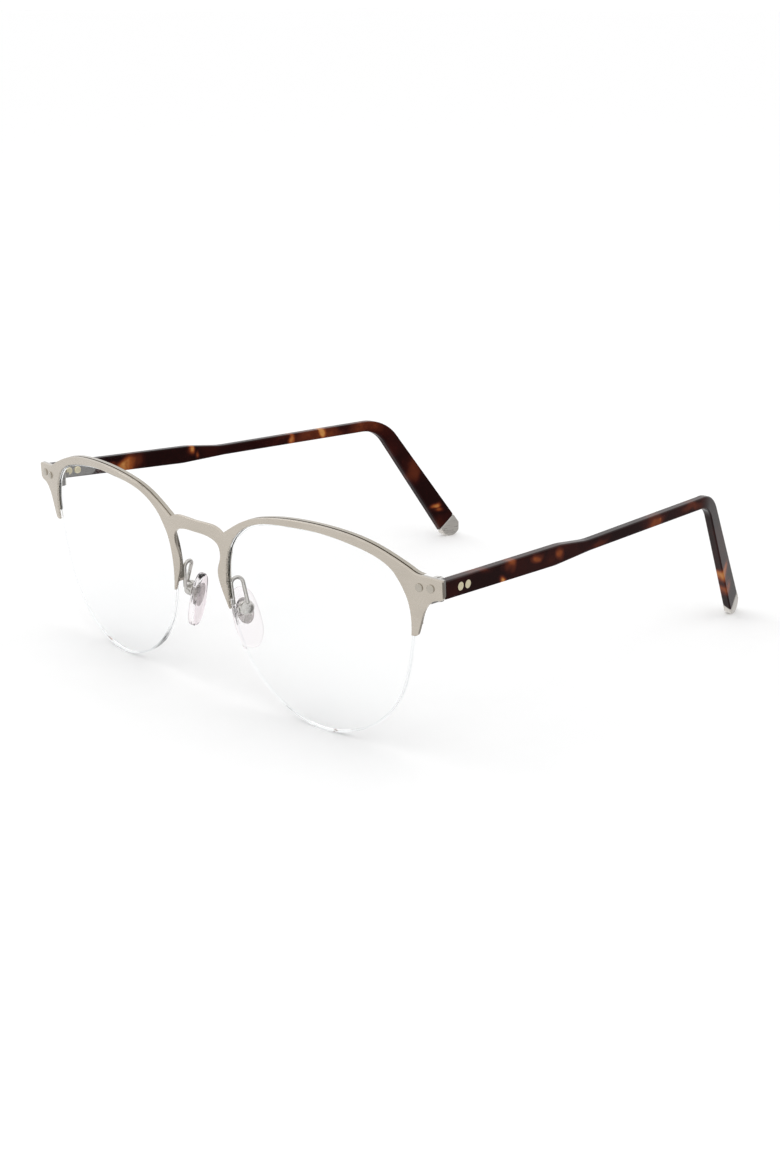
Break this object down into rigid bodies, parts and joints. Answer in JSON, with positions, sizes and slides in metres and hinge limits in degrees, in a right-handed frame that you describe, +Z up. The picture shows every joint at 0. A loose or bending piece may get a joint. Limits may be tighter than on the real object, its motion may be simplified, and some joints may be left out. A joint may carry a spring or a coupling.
{
  "type": "half rim eyeglasses",
  "caption": "Half rim eyeglasses with a metal browline front, nylon-held clear lenses, clear nose pads and slim folding tortoiseshell temples with metal tips.",
  "frame": {"origin": "on the floor under the middle of the pair's bounding box", "axes": "+X to the wearer's left, +Y from the front back to the temple tips, +Z up"},
  "size_m": [0.1394, 0.1375, 0.0473],
  "materials": {
    "front_metal": "warm pale nickel, finely brushed",
    "bright_metal": "polished nickel",
    "pale_gold": "pale gold, satin rivet heads",
    "lens": "clear, anti-reflection coated",
    "nylon": "clear nylon",
    "tortoise_acetate": "polished dark tortoiseshell acetate with amber patches",
    "clear_pad": "clear soft pad, slightly pink at the rim"
  },
  "bodies": {
    "front": {"front_plate": "front_metal", "rim_wire_left": "front_metal", "rim_wire_right": "front_metal", "rim_liner_left": "nylon", "rim_liner_right": "nylon", "lens_left": "lens", "lens_right": "lens", "nylon_cord_left": "nylon", "nylon_cord_right": "nylon", "front_rivet_inner_left": "bright_metal", "front_rivet_inner_right": "bright_metal", "front_rivet_outer_left": "bright_metal", "front_rivet_outer_right": "bright_metal", "hinge_front_left": "front_metal", "hinge_front_right": "front_metal", "hinge_screw_left": "bright_metal", "hinge_screw_right": "bright_metal", "pad_arm_left": "bright_metal", "pad_arm_right": "bright_metal", "pad_box_left": "bright_metal", "pad_box_right": "bright_metal", "pad_screw_left": "bright_metal", "pad_screw_right": "bright_metal"},
    "temple_arm_left": {"hinge_leaf_left": "bright_metal", "temple_left": "tortoise_acetate", "temple_core_left": "bright_metal", "temple_rivet_front_left": "pale_gold", "temple_rivet_rear_left": "pale_gold", "tip_cap_left": "front_metal"},
    "pad_left": {"nose_pad_left": "clear_pad", "pad_core_left": "bright_metal"},
    "temple_arm_right": {"hinge_leaf_right": "bright_metal", "temple_right": "tortoise_acetate", "temple_core_right": "bright_metal", "temple_rivet_front_right": "pale_gold", "temple_rivet_rear_right": "pale_gold", "tip_cap_right": "front_metal"},
    "pad_right": {"nose_pad_right": "clear_pad", "pad_core_right": "bright_metal"}
  },
  "joints": [
    {"name": "temple_hinge_left", "type": "hinge", "parent": "front", "child": "temple_arm_left", "pos_m": [0.06535, -0.05833, 0.0373], "axis": [0, 0, 1], "range_deg": [0, 83]},
    {"name": "temple_hinge_right", "type": "hinge", "parent": "front", "child": "temple_arm_right", "pos_m": [-0.06535, -0.05833, 0.0373], "axis": [0, 0, -1], "range_deg": [0, 74]},
    {"name": "pad_swivel_left", "type": "hinge", "parent": "front", "child": "pad_left", "pos_m": [0.01005, -0.06231, 0.02154], "axis": [0.3763, 0.9107, 0.1706], "range_deg": [-8, 8]},
    {"name": "pad_swivel_right", "type": "hinge", "parent": "front", "child": "pad_right", "pos_m": [-0.01005, -0.06231, 0.02154], "axis": [0.3763, -0.9107, -0.1706], "range_deg": [-8, 8]}
  ]
}
